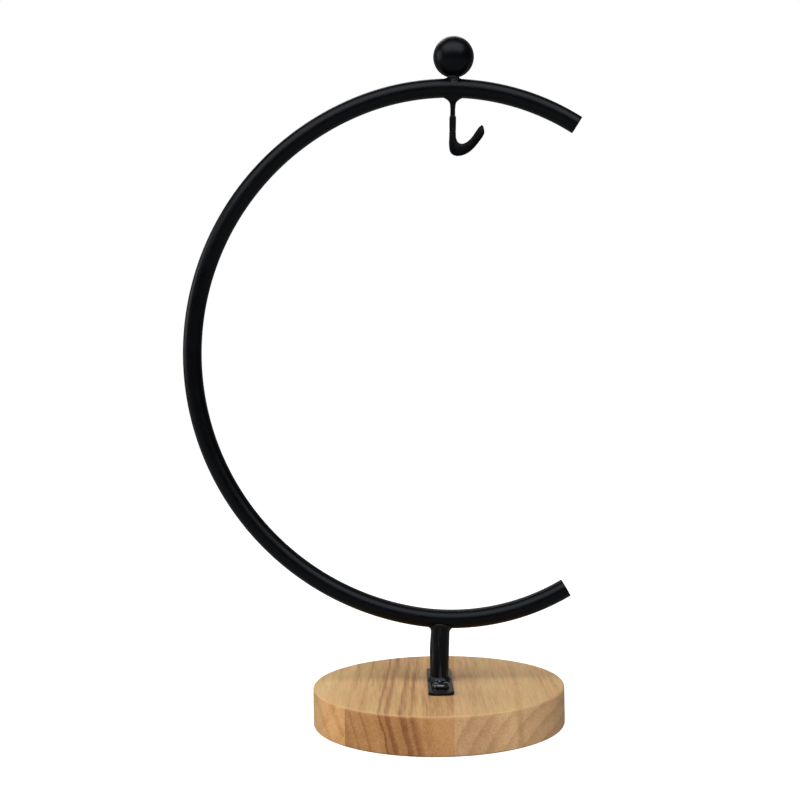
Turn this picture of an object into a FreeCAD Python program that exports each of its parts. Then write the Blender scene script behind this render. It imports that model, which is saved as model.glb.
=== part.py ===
import FreeCAD, Part
import math
import os

# Tabletop hanging stand: a round wooden base glued up from three staves, a short
# tubular post screwed down through a small steel plate, and a C-shaped hoop of steel
# tube with a ball on top and a forged open hook under it.
#
# Millimetres. +Z is up, +X is towards the open side of the hoop, -Y is the front.
# The origin is the centre of the base's underside. The hoop lies in the XZ plane, and
# its angles are counted from +X towards +Z.

# --- wooden base ---------------------------------------------------------------------
base_radius = 53.8
base_thickness = 16.2
base_edge_round = 0.8
# The staves run front to back, turned a little so that their back ends swing to +X.
# Each glue line is at a distance from the base's centre, across the staves.
stave_turn = 2.5
left_glue_line = -37.2
right_glue_line = 6.9

# --- mounting plate and its two screws -----------------------------------------------
plate_x = 0.6
plate_width = 10.6
plate_length = 45.0
plate_thickness = 1.5
plate_end_bow = 0.9
plate_edge_break = 0.3
plate_hole_clearance = 0.3

screw_spacing = 26.0
screw_head_radius = 3.6
screw_head_height = 2.2
screw_head_rim = 0.6
screw_head_flat_radius = 1.5
screw_recess_length = 3.8
screw_recess_width = 0.9
screw_recess_depth = 1.2
screw_recess_turn = 20.0
screw_thread_radius = 1.75
screw_core_radius = 1.2
screw_thread_pitch = 1.5
screw_thread_turns = 7
screw_point_length = 2.0
screw_point_radius = 0.3
screw_pilot_clearance = 0.05

# --- round tube of the post and the hoop ---------------------------------------------
tube_radius = 4.0
tube_wall = 1.0

# --- post ----------------------------------------------------------------------------
post_foot_x = 0.3
post_head_x = 1.4
weld_lip = 0.12
post_foot_weld_leg = 1.1
post_foot_weld_height = 1.7
post_head_weld_leg = 1.3
post_head_weld_height = 1.6
post_head_weld_side_leg = 0.4

# --- hoop: three arcs that run on smoothly from each other ---------------------------
hoop_bottom_height = 27.6
hoop_bottom_x = 7.7
hoop_main_radius = 113.9
hoop_lower_radius = 96.4
hoop_upper_radius = 102.5
hoop_upper_start_angle = 110.0
hoop_lower_end_angle = 259.0
hoop_upper_tip_angle = 56.9
hoop_lower_tip_angle = 299.7
end_cap_depth = 3.0
end_cap_clearance = 0.05

# --- ball and hook, in line across the top of the hoop -------------------------------
hanger_x = 10.5
hanger_lean = 1.8
ball_radius = 8.7
ball_gap = 0.5
ball_weld_waist_radius = 2.7
ball_weld_foot_radius = 3.6
ball_weld_drop = 2.4

# --- hook ----------------------------------------------------------------------------
hook_neck_radius = 1.1
hook_neck_length = 7.9
hook_neck_root = 1.5
hook_squareness = 2.6
hook_section_points = 16
hook_skin_degree = 3
hook_weld_radius = 4.4
hook_weld_side_radius = 3.2
hook_weld_height = 4.3
# The flattened bow from the shoulder to the tip, as sections across the bar: the edge
# towards the throat, the edge on the back, and the thickness in Y. Both edges are
# (sideways, up) from the middle of the shoulder.
hook_sections = [
    ((1.5, 0.0), (-1.4, 0.0), 2.8),
    ((1.5, -4.4), (-1.4, -4.4), 2.9),
    ((1.6, -8.8), (-1.4, -9.5), 3.0),
    ((1.95, -10.0), (-1.35, -13.0), 3.1),
    ((2.6, -11.0), (-0.5, -15.7), 3.2),
    ((3.8, -11.5), (2.2, -16.85), 3.2),
    ((5.2, -11.3), (6.3, -15.7), 3.1),
    ((7.4, -9.7), (9.8, -12.7), 3.0),
    ((9.5, -7.0), (12.4, -9.4), 2.9),
    ((11.2, -4.5), (13.6, -6.0), 2.6),
    ((12.1, -3.7), (13.2, -4.3), 1.2),
]

# --- values worked out from the driving dimensions -----------------------------------
UP = FreeCAD.Vector(0, 0, 1)
tube_bore_radius = tube_radius - tube_wall
plate_top_z = base_thickness + plate_thickness
screw_places = {"front_screw": -screw_spacing / 2, "rear_screw": screw_spacing / 2}
screw_thread_length = screw_thread_turns * screw_thread_pitch + screw_point_length


def on_arc(centre, radius, angle):
    """Point of an arc in the XZ plane at an angle in degrees."""
    turn = math.radians(angle)
    return centre + FreeCAD.Vector(radius * math.cos(turn), 0, radius * math.sin(turn))


def arc_height(centre, radius, x):
    """Vertical distance from an arc's centre to the arc at x."""
    return math.sqrt(radius ** 2 - (x - centre.x) ** 2)


lower_centre = FreeCAD.Vector(
    hoop_bottom_x, 0, base_thickness + hoop_bottom_height + hoop_lower_radius)
main_centre = on_arc(
    lower_centre, hoop_lower_radius - hoop_main_radius, hoop_lower_end_angle)
upper_centre = on_arc(
    main_centre, hoop_main_radius - hoop_upper_radius, hoop_upper_start_angle)
hoop_arcs = [
    (upper_centre, hoop_upper_radius, hoop_upper_tip_angle, hoop_upper_start_angle),
    (main_centre, hoop_main_radius, hoop_upper_start_angle, hoop_lower_end_angle),
    (lower_centre, hoop_lower_radius, hoop_lower_end_angle, hoop_lower_tip_angle),
]

post_foot = FreeCAD.Vector(post_foot_x, 0, plate_top_z)
post_head = FreeCAD.Vector(
    post_head_x, 0,
    lower_centre.z - arc_height(lower_centre, hoop_lower_radius, post_head_x))
post_axis = (post_head - post_foot).normalize()
post_length = (post_head - post_foot).Length

hanger_centre = FreeCAD.Vector(
    hanger_x, 0,
    upper_centre.z + arc_height(upper_centre, hoop_upper_radius, hanger_x))
hanger_axis = FreeCAD.Vector(
    math.sin(math.radians(hanger_lean)), 0, math.cos(math.radians(hanger_lean)))
ball_centre = hanger_centre + hanger_axis * (tube_radius + ball_gap + ball_radius)


def placed(shape, base, axis):
    """Move a shape made about +Z at the origin so that it stands on base along axis."""
    moved = shape.copy()
    moved.Placement = FreeCAD.Placement(base, FreeCAD.Rotation(UP, axis))
    return moved


def revolved(edges):
    """Solid of revolution about Z of a closed profile in the XZ plane."""
    return Part.Face(Part.Wire(edges)).revolve(FreeCAD.Vector(0, 0, 0), UP, 360)


def line(start, end):
    """Edge in the XZ plane between two (x, z) points."""
    return Part.LineSegment(
        FreeCAD.Vector(start[0], 0, start[1]), FreeCAD.Vector(end[0], 0, end[1])).toShape()


def lines(points):
    """Edges that join each (x, z) point to the next, where the two differ."""
    return [line(first, second) for first, second in zip(points, points[1:]) if first != second]


def arc(start, middle, end):
    """Arc in the XZ plane through three (x, z) points."""
    points = [FreeCAD.Vector(x, 0, z) for x, z in (start, middle, end)]
    return Part.Arc(*points).toShape()


def bent_bar(radius, centre, arc_radius, start_angle, end_angle):
    """Round bar of one radius bent along an arc in the XZ plane."""
    section_centre = on_arc(centre, arc_radius, start_angle)
    tangent = on_arc(FreeCAD.Vector(0, 0, 0), 1, start_angle + 90)
    section = Part.Face(Part.Wire(Part.Circle(section_centre, tangent, radius).toShape()))
    return section.revolve(centre, FreeCAD.Vector(0, -1, 0), end_angle - start_angle)


def joined(shapes):
    """One clean solid from touching ones."""
    return shapes[0].multiFuse(shapes[1:]).removeSplitter()


def hoop_bar(radius):
    """The whole hoop as a solid bar, for the tube, its bore and what is welded to it."""
    return joined([bent_bar(radius, *values) for values in hoop_arcs])


def make_hoop_tube():
    return hoop_bar(tube_radius).cut(hoop_bar(tube_bore_radius))


def make_end_cap(arc_values, tip_angle):
    """Plug that closes the tube flush with its cut end."""
    centre, radius, start_angle, end_angle = arc_values
    depth_angle = math.degrees(end_cap_depth / radius)
    inwards = math.copysign(depth_angle, (start_angle + end_angle) / 2 - tip_angle)
    low_angle = min(tip_angle, tip_angle + inwards)
    high_angle = max(tip_angle, tip_angle + inwards)
    cap_radius = tube_bore_radius - end_cap_clearance
    return bent_bar(cap_radius, centre, radius, low_angle, high_angle)


def make_base_staves():
    """Three staves of the round base, split where they are glued edge to edge."""
    disc = Part.makeCylinder(base_radius, base_thickness)
    rims = [edge for edge in disc.Edges if edge.Closed]
    disc = disc.makeFillet(base_edge_round, rims)
    pilot_radius = screw_thread_radius + screw_pilot_clearance
    for place_y in screw_places.values():
        pilot = Part.makeCylinder(pilot_radius, base_thickness)
        disc = disc.cut(placed(pilot, FreeCAD.Vector(plate_x, place_y, screw_pilot_floor()), UP))
    reach = 2 * base_radius
    splits = [-reach, left_glue_line, right_glue_line, reach]
    names = ["base_stave_left", "base_stave_middle", "base_stave_right"]
    staves = {}
    for name, low_x, high_x in zip(names, splits, splits[1:]):
        slab = Part.makeBox(
            high_x - low_x, 2 * reach, base_thickness, FreeCAD.Vector(low_x, -reach, 0))
        slab.rotate(FreeCAD.Vector(0, 0, 0), UP, -stave_turn)
        staves[name] = disc.common(slab)
    return staves


def screw_pilot_floor():
    """Height of the flat bottom of the pilot holes, just under the screws' points."""
    return plate_top_z - screw_thread_length - screw_pilot_clearance


def make_mounting_plate():
    """Strip with two slightly bowed ends, drilled for its screws."""
    half_width = plate_width / 2
    half_length = plate_length / 2
    corner_y = half_length - plate_end_bow
    corners = [
        FreeCAD.Vector(-half_width, -corner_y, 0),
        FreeCAD.Vector(half_width, -corner_y, 0),
        FreeCAD.Vector(half_width, corner_y, 0),
        FreeCAD.Vector(-half_width, corner_y, 0),
    ]
    outline = Part.Wire([
        Part.Arc(corners[0], FreeCAD.Vector(0, -half_length, 0), corners[1]).toShape(),
        Part.LineSegment(corners[1], corners[2]).toShape(),
        Part.Arc(corners[2], FreeCAD.Vector(0, half_length, 0), corners[3]).toShape(),
        Part.LineSegment(corners[3], corners[0]).toShape(),
    ])
    plate = Part.Face(outline).extrude(UP * plate_thickness)
    top_edges = [edge for edge in plate.Edges if edge.BoundBox.ZMin > plate_thickness / 2]
    plate = plate.makeChamfer(plate_edge_break, top_edges)
    hole_radius = screw_thread_radius + plate_hole_clearance
    for place_y in screw_places.values():
        hole = Part.makeCylinder(hole_radius, plate_thickness, FreeCAD.Vector(0, place_y, 0))
        plate = plate.cut(hole)
    plate.translate(FreeCAD.Vector(plate_x, 0, base_thickness))
    return plate


def screw_thread_profile():
    """Points down the ridges of the thread, from under the head to the point."""
    points = [(screw_core_radius, 0)]
    for turn in range(screw_thread_turns):
        root_z = -turn * screw_thread_pitch
        points.append((screw_thread_radius, root_z - screw_thread_pitch / 2))
        points.append((screw_core_radius, root_z - screw_thread_pitch))
    points.append((screw_point_radius, -screw_thread_length))
    points.append((0, -screw_thread_length))
    return points


def make_screw(place_y):
    """Pan-head wood screw with a cross recess, seated on the plate."""
    head_side = (screw_head_radius, screw_head_rim)
    crown_middle_radius = (screw_head_radius + screw_head_flat_radius) / 2
    crown_middle = (crown_middle_radius * 1.15, screw_head_height * 0.78)
    crown_edge = (screw_head_flat_radius, screw_head_height)
    edges = lines(
        [head_side, (screw_head_radius, 0)] + screw_thread_profile()
        + [(0, screw_head_height), crown_edge])
    edges.append(arc(crown_edge, crown_middle, head_side))
    screw = revolved(edges)
    for turn in (screw_recess_turn, screw_recess_turn + 90):
        slot = Part.makeBox(
            screw_recess_length, screw_recess_width, screw_head_height,
            FreeCAD.Vector(-screw_recess_length / 2, -screw_recess_width / 2, 0))
        slot.rotate(FreeCAD.Vector(0, 0, 0), UP, turn)
        slot.translate(UP * (screw_head_height - screw_recess_depth))
        screw = screw.cut(slot)
    screw.translate(FreeCAD.Vector(plate_x, place_y, plate_top_z))
    return screw


def post_bar(radius):
    """Round bar along the post's axis, cut flat on the plate and run into the hoop."""
    below = post_foot - post_axis * tube_radius
    bar = Part.makeCylinder(radius, post_length + tube_radius, below, post_axis)
    return bar.cut(under_plate_top())


def under_plate_top():
    """Block below the plate's top face, to trim what stands on it."""
    span = 4 * tube_radius
    corner = FreeCAD.Vector(post_foot_x - span, -span, plate_top_z - span)
    return Part.makeBox(2 * span, 2 * span, span, corner)


def make_post():
    """Tube coped round the underside of the hoop."""
    return post_bar(tube_radius).cut(post_bar(tube_bore_radius)).cut(hoop_bar(tube_radius))


def weld_collar(bar_radius, foot_radius, side_radius, height, sunk):
    """Weld round a bar about +Z that hollows in from its foot to a thin lip.

    It reaches foot_radius along X and side_radius along Y, and is carried down by sunk.
    """
    lip_radius = bar_radius + weld_lip
    middle = (lip_radius + (foot_radius - lip_radius) * 0.3, height * 0.3)
    foot = (foot_radius, 0)
    neck = (lip_radius, height)
    edges = lines([neck, (0, height), (0, -sunk), (foot_radius, -sunk), foot])
    edges.append(arc(foot, middle, neck))
    narrowing = FreeCAD.Matrix()
    narrowing.scale(1, side_radius / foot_radius, 1)
    return revolved(edges).transformGeometry(narrowing)


def make_post_foot_weld():
    """Fillet weld round the post's foot on the plate."""
    foot_radius = tube_radius + post_foot_weld_leg
    collar = weld_collar(
        tube_radius, foot_radius, foot_radius, post_foot_weld_height, plate_thickness)
    weld = placed(collar, post_foot, post_axis)
    return largest(weld.cut(under_plate_top()).cut(post_bar(tube_radius)))


def make_post_head_weld():
    """Fillet weld round the post's head, under the hoop."""
    collar = weld_collar(
        tube_radius, tube_radius + post_head_weld_leg, tube_radius + post_head_weld_side_leg,
        post_head_weld_height, tube_radius)
    hoop_underside = post_head - post_axis * tube_radius
    weld = placed(collar, hoop_underside, -post_axis)
    return largest(weld.cut(post_bar(tube_radius)).cut(hoop_bar(tube_radius)))


def largest(shape):
    """Keep the biggest solid of a cut and drop the slivers."""
    return max(shape.Solids, key=lambda solid: solid.Volume)


def make_finial_ball():
    return Part.makeSphere(ball_radius, ball_centre)


def make_finial_weld():
    """Bead between the ball and the crown of the tube, saddled over the tube."""
    top = tube_radius + ball_gap + ball_radius / 2
    waist = (ball_weld_waist_radius, tube_radius + ball_gap)
    foot = (ball_weld_foot_radius, tube_radius - ball_weld_drop)
    middle = (ball_weld_waist_radius + 0.15, tube_radius - ball_weld_drop / 3)
    edges = lines([
        waist, (ball_weld_waist_radius, top), (0, top), (0, 0), (ball_weld_foot_radius, 0), foot])
    edges.append(arc(foot, middle, waist))
    bead = placed(revolved(edges), hanger_centre, hanger_axis)
    return largest(bead.cut(make_finial_ball()).cut(hoop_bar(tube_radius)))


def hook_section(throat_edge, back_edge, thickness):
    """Rounded oblong across the hook's bar, between its two edges."""
    inner = FreeCAD.Vector(throat_edge[0], 0, throat_edge[1])
    outer = FreeCAD.Vector(back_edge[0], 0, back_edge[1])
    middle = (inner + outer) * 0.5
    half_width = (inner - outer) * 0.5
    half_depth = FreeCAD.Vector(0, thickness / 2, 0)
    points = []
    for step in range(hook_section_points):
        turn = 2 * math.pi * step / hook_section_points
        across = rounded(math.cos(turn))
        deep = rounded(math.sin(turn))
        points.append(middle + half_width * across + half_depth * deep)
    return points


def rounded(value):
    """Swell a cosine or sine so that a circle becomes a rounded oblong."""
    return math.copysign(abs(value) ** (2 / hook_squareness), value)


def hook_bow():
    """Flat forged bow of the hook, from its shoulder to its tip, as one smooth skin."""
    sections = [hook_section(*values) for values in hook_sections]
    stations = [0]
    for first, second in zip(sections, sections[1:]):
        stations.append(stations[-1] + (middle_of(second) - middle_of(first)).Length)
    lengthwise = []
    for points in zip(*sections):
        curve = Part.BSplineCurve()
        curve.interpolate(Points=list(points), Parameters=stations)
        lengthwise.append(curve)
    skin = Part.BSplineSurface()
    skin.buildFromPolesMultsKnots(
        list(zip(*[curve.getPoles() for curve in lengthwise])),
        lengthwise[0].getMultiplicities(), [1] * (hook_section_points + 1),
        lengthwise[0].getKnots(), list(range(hook_section_points + 1)),
        False, True, lengthwise[0].Degree, hook_skin_degree)
    side = skin.toShape()
    ends = [Part.Face(Part.Wire(edge)) for edge in side.Edges if edge.isClosed()]
    shell = Part.makeShell([side] + ends)
    shell.sewShape()
    bow = Part.makeSolid(shell)
    bow.translate(FreeCAD.Vector(0, 0, -hook_neck_length))
    return bow


def middle_of(points):
    """Mean of a ring of points."""
    return sum(points, FreeCAD.Vector(0, 0, 0)) * (1 / len(points))


def hook_neck():
    """Thin round neck from inside the hook's shoulder up into the tube."""
    length = hook_neck_root + hook_neck_length + tube_radius
    foot = FreeCAD.Vector(0, 0, -hook_neck_length - hook_neck_root)
    return Part.makeCylinder(hook_neck_radius, length, foot)


def tube_underside():
    """Point of the hoop's underside that the hook hangs from."""
    return hanger_centre - hanger_axis * tube_radius


def make_hook():
    hook = joined([hook_bow(), hook_neck()])
    return largest(placed(hook, tube_underside(), hanger_axis).cut(hoop_bar(tube_radius)))


def make_hook_weld():
    """Flared weld that carries the hook's neck under the tube."""
    collar = weld_collar(
        hook_neck_radius, hook_weld_radius, hook_weld_side_radius, hook_weld_height, tube_radius)
    weld = placed(collar, tube_underside(), -hanger_axis)
    neck = placed(hook_neck(), tube_underside(), hanger_axis)
    return largest(weld.cut(neck).cut(hoop_bar(tube_radius)))


def make_parts():
    """All sub-parts by node name."""
    parts = make_base_staves()
    parts["mounting_plate"] = make_mounting_plate()
    for name, place_y in screw_places.items():
        parts[name] = make_screw(place_y)
    parts["post"] = make_post()
    parts["post_foot_weld"] = make_post_foot_weld()
    parts["post_head_weld"] = make_post_head_weld()
    parts["hoop_tube"] = make_hoop_tube()
    parts["upper_end_cap"] = make_end_cap(hoop_arcs[0], hoop_upper_tip_angle)
    parts["lower_end_cap"] = make_end_cap(hoop_arcs[-1], hoop_lower_tip_angle)
    parts["finial_ball"] = make_finial_ball()
    parts["finial_weld"] = make_finial_weld()
    parts["hook"] = make_hook()
    parts["hook_weld"] = make_hook_weld()
    return parts


os.makedirs("parts", exist_ok=True)
for node, shape in make_parts().items():
    shape.exportStep("parts/" + node + ".step")
    box = shape.optimalBoundingBox()
    print("%-18s solids %d valid %s volume %.1f x %.2f..%.2f y %.2f..%.2f z %.2f..%.2f" % (
        node, len(shape.Solids), shape.isValid(), shape.Volume,
        box.XMin, box.XMax, box.YMin, box.YMax, box.ZMin, box.ZMax))
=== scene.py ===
"""Looks of a tabletop hanging stand: a round foot of three glued staves, a screwed-down
post, and an open hoop of bent tube with a ball on top and a forged hook under it.

Metres. +Z is up, +X is towards the hoop's open side, -Y is the front. The origin is the
centre of the foot's underside, and the hoop lies in the XZ plane.
"""

import math

import bmesh
import bpy
import numpy as np
from mathutils import Matrix, Quaternion, Vector, noise


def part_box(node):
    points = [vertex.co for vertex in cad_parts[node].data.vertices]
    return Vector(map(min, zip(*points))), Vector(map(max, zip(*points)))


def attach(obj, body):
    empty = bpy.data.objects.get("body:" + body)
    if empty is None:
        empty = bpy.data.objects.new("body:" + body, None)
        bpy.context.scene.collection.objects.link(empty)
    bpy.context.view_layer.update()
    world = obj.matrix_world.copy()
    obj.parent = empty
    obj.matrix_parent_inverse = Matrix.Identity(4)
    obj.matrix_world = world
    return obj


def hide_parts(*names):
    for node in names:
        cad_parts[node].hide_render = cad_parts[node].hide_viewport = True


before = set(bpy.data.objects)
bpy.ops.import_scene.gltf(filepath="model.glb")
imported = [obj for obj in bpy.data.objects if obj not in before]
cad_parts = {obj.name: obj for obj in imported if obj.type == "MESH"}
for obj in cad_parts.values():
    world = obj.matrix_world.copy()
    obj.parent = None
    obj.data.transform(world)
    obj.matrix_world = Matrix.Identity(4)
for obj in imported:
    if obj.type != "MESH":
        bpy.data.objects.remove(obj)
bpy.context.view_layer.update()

MM = 0.001
BODY = "root"

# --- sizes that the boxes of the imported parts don't give ---
EDGE_ROUND = 0.8 * MM
RIM_WAVE = 0.06 * MM
RIM_FOCUS = 40
STAVE_TURN = math.radians(2.5)
LEFT_GLUE_LINE = -37.2 * MM
RIGHT_GLUE_LINE = 6.9 * MM

TUBE_RADIUS = 4.0 * MM
TUBE_WALL = 1.0 * MM
BOTTOM_OF_BEND = 27.6 * MM
BOTTOM_X = 7.7 * MM
LOWER_BEND = 96.4 * MM
MAIN_BEND = 113.9 * MM
UPPER_BEND = 102.5 * MM
UPPER_TIP = math.radians(56.9)
UPPER_START = math.radians(110)
LOWER_START = math.radians(259)
LOWER_TIP = math.radians(299.7)
CAP_DEPTH = 3.0  # millimetres

PLATE_EDGE_BREAK = 0.35 * MM
PLATE_END_BOW = 0.9 * MM
PLATE_CORNER = 0.7 * MM
SCREW_CLEARANCE = 0.3 * MM
THREAD_RADIUS = 1.75 * MM
CORE_RADIUS = 1.2 * MM
THREAD_PITCH = 1.5 * MM
THREAD_TURNS = 7
HEAD_RADIUS = 3.6 * MM
HEAD_HEIGHT = 2.2 * MM
RECESS_TURN = math.radians(20)

POST_FOOT_X = 0.3 * MM
POST_HEAD_X = 1.4 * MM
POST_BOW = -0.35 * MM
POST_TOP_RISE = 2.2 * MM
COPE_START = 10 * MM
HANGER_X = 10.5 * MM
HANGER_LEAN = math.radians(1.8)
NECK_RADIUS = 1.1 * MM
NECK_LENGTH = 7.9 * MM
NICK_DROP = 6.5
NICK_WIDTH = 0.22
BAR_SQUARENESS = 2.7
# Sections of the forged bow in millimetres from the middle of its shoulder, from shoulder
# to tip: the edge towards the throat, the edge on the back, and the thickness.
BOW = [
    ((1.5, 0.0), (-1.4, 0.0), 2.8),
    ((1.5, -4.4), (-1.4, -4.4), 2.9),
    ((1.6, -8.8), (-1.4, -9.5), 3.0),
    ((1.95, -10.0), (-1.35, -13.0), 3.1),
    ((2.6, -11.0), (-0.5, -15.7), 3.2),
    ((3.8, -11.5), (2.2, -16.85), 3.2),
    ((5.2, -11.3), (6.3, -15.7), 3.1),
    ((7.4, -9.7), (9.8, -12.7), 3.0),
    ((9.5, -7.0), (12.4, -9.4), 2.9),
    ((11.2, -4.5), (13.6, -6.0), 2.6),
    ((12.1, -3.7), (13.2, -4.3), 1.2),
]

# --- how fine the meshes are, and the corners that stay sharp ---
ARC_STEPS = 150
LINE_STEPS = 24
EASE_STEPS = 6
HOOP_STEPS_ALONG = 361
HOOP_STEPS_AROUND = 64
WELD_STEPS = 160
SHARP = math.radians(35)
WELD_SHARP = math.radians(60)

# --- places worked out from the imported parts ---
foot_low, foot_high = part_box("base_stave_middle")
plate_low, plate_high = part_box("mounting_plate")
ball_low, ball_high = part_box("finial_ball")
FOOT_RADIUS = (foot_high.y - foot_low.y) / 2
FOOT_TOP = foot_high.z
PLATE_TOP = plate_high.z
BALL_CENTRE = (ball_low + ball_high) / 2
BALL_RADIUS = (ball_high.z - ball_low.z) / 2


def direction(angle):
    """Unit vector in the hoop's plane, counted from +X towards +Z."""
    return Vector((math.cos(angle), 0, math.sin(angle)))


LOWER_CENTRE = Vector((BOTTOM_X, 0, FOOT_TOP + BOTTOM_OF_BEND + LOWER_BEND))
MAIN_CENTRE = LOWER_CENTRE + direction(LOWER_START) * (LOWER_BEND - MAIN_BEND)
UPPER_CENTRE = MAIN_CENTRE + direction(UPPER_START) * (MAIN_BEND - UPPER_BEND)


def bend_height(centre, radius, x):
    return math.sqrt(radius ** 2 - (x - centre.x) ** 2)


POST_FOOT = Vector((POST_FOOT_X, 0, PLATE_TOP))
POST_HEAD = Vector(
    (POST_HEAD_X, 0, LOWER_CENTRE.z - bend_height(LOWER_CENTRE, LOWER_BEND, POST_HEAD_X)))
POST_AXIS = (POST_HEAD - POST_FOOT).normalized()
POST_LEAN = Matrix.Rotation(math.atan2(POST_AXIS.x, POST_AXIS.z), 4, "Y")
HANGER = Vector(
    (HANGER_X, 0, UPPER_CENTRE.z + bend_height(UPPER_CENTRE, UPPER_BEND, HANGER_X)))
HANGER_AXIS = Vector((math.sin(HANGER_LEAN), 0, math.cos(HANGER_LEAN)))


# --- shader and field maths ---
class Wire:
    """A value in a node tree. Arithmetic on it adds Math nodes."""

    def __init__(self, maker, socket):
        self.maker = maker
        self.socket = socket

    def math(self, operation, *values):
        return self.maker.add("ShaderNodeMath", {"operation": operation}, dict(enumerate(values)))

    def __add__(self, other):
        return self.math("ADD", self, other)

    __radd__ = __add__

    def __mul__(self, other):
        return self.math("MULTIPLY", self, other)

    __rmul__ = __mul__

    def __sub__(self, other):
        return self.math("SUBTRACT", self, other)

    def __rsub__(self, other):
        return self.math("SUBTRACT", other, self)

    def __truediv__(self, other):
        return self.math("DIVIDE", self, other)

    def __pow__(self, other):
        return self.math("POWER", self, other)

    def __gt__(self, other):
        return self.math("GREATER_THAN", self, other)

    def clamped(self):
        return self.math("MAXIMUM", self.math("MINIMUM", self, 1.0), 0.0)

    def between(self, low, high):
        """0 at low, 1 at high, smooth between them."""
        return self.maker.add(
            "ShaderNodeMapRange", {"interpolation_type": "SMOOTHSTEP"},
            {"Value": self, "From Min": low, "From Max": high})


class Nodes:
    """Adds nodes to one tree."""

    def __init__(self, tree):
        self.tree = tree

    def add(self, kind, settings=None, inputs=None, output=0):
        """One node: its settings first, then the values or links of its sockets."""
        node = self.tree.nodes.new(kind)
        for key, value in (settings or {}).items():
            if key == "stops":
                self.set_stops(node.color_ramp, value)
            else:
                setattr(node, key, value)
        for key, value in (inputs or {}).items():
            self.feed(node.inputs[key], value)
        return Wire(self, node.outputs[output])

    def feed(self, socket, value):
        if isinstance(value, Wire):
            self.tree.links.new(value.socket, socket)
        else:
            socket.default_value = value

    def split(self, vector):
        """The X, Y and Z of a vector."""
        first = self.add("ShaderNodeSeparateXYZ", None, {0: vector})
        return [Wire(self, socket) for socket in first.socket.node.outputs]

    def mix(self, factor, first, second):
        """Mix of two colours."""
        return self.add(
            "ShaderNodeMix", {"data_type": "RGBA"}, {0: factor, 6: first, 7: second}, output=2)

    @staticmethod
    def set_stops(ramp, stops):
        while len(ramp.elements) < len(stops):
            ramp.elements.new(0.5)
        for element, (place, tone) in zip(ramp.elements, stops):
            element.position = place
            element.color = (tone, tone, tone, 1) if isinstance(tone, float) else tone


class Finish(Nodes):
    """A material with one Principled shader."""

    def __init__(self, name, constants):
        self.material = bpy.data.materials.new(name)
        self.material.use_nodes = True
        super().__init__(self.material.node_tree)
        self.tree.nodes.clear()
        self.shader = self.tree.nodes.new("ShaderNodeBsdfPrincipled")
        self.output = self.tree.nodes.new("ShaderNodeOutputMaterial")
        self.tree.links.new(self.shader.outputs[0], self.output.inputs["Surface"])
        for key, value in constants.items():
            self.shader.inputs[key].default_value = value

    def set(self, key, value):
        self.feed(self.shader.inputs[key], value)

    def place(self, scale=(1000, 1000, 1000), turn=0.0, shift=(0, 0, 0)):
        """Object coordinates in millimetres, stretched and turned about Z."""
        coordinates = self.add("ShaderNodeTexCoord", output="Object")
        return self.add(
            "ShaderNodeMapping", None,
            {"Vector": coordinates, "Rotation": (0, 0, turn), "Scale": scale,
             "Location": shift})

    def noise(self, vector, scale=1.0, detail=2.0, roughness=0.5, distortion=0.0):
        return self.add(
            "ShaderNodeTexNoise", None,
            {"Vector": vector, "Scale": scale, "Detail": detail, "Roughness": roughness,
             "Distortion": distortion})

    def bump(self, height, strength, distance):
        normal = self.add(
            "ShaderNodeBump", None,
            {"Strength": strength, "Distance": distance, "Height": height})
        self.set("Normal", normal)


class GeometryTree(Nodes):
    """A geometry node tree with named inputs, one of which is the material, Finish."""

    def __init__(self, name, result, sockets):
        super().__init__(bpy.data.node_groups.new(name, "GeometryNodeTree"))
        new_socket = self.tree.interface.new_socket
        self.sockets = {
            key: new_socket(key, in_out="INPUT", socket_type="NodeSocket" + kind)
            for key, kind in sockets}
        new_socket(result, in_out="OUTPUT", socket_type="NodeSocketGeometry")
        self.given = self.tree.nodes.new("NodeGroupInput")

    def wire(self, key):
        return Wire(self, self.given.outputs[key])

    def join(self, *parts):
        joined = self.add("GeometryNodeJoinGeometry")
        for part in parts:
            self.feed(joined.socket.node.inputs[0], part)
        return joined

    def finish(self, geometry):
        """Make the geometry real, paint it and put it out."""
        real = self.add("GeometryNodeRealizeInstances", None, {"Geometry": geometry})
        painted = self.add(
            "GeometryNodeSetMaterial", None, {"Geometry": real, "Material": self.wire("Finish")})
        self.feed(self.tree.nodes.new("NodeGroupOutput").inputs[0], painted)

    def applied(self, mesh, values):
        """The plain mesh that the tree makes from a mesh and named values."""
        holder = linked("holder", mesh)
        modifier = holder.modifiers.new("tree", "NODES")
        modifier.node_group = self.tree
        for key, value in values.items():
            modifier[self.sockets[key].identifier] = value
        made = evaluated_mesh(holder)
        holder.modifiers.remove(modifier)
        bpy.data.objects.remove(holder)
        return made


def rgb(red, green, blue):
    """A colour as it is seen, from 0 to 255, made linear."""
    def linear(value):
        value /= 255
        return value / 12.92 if value <= 0.04045 else ((value + 0.055) / 1.055) ** 2.4
    return (linear(red), linear(green), linear(blue), 1.0)


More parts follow.
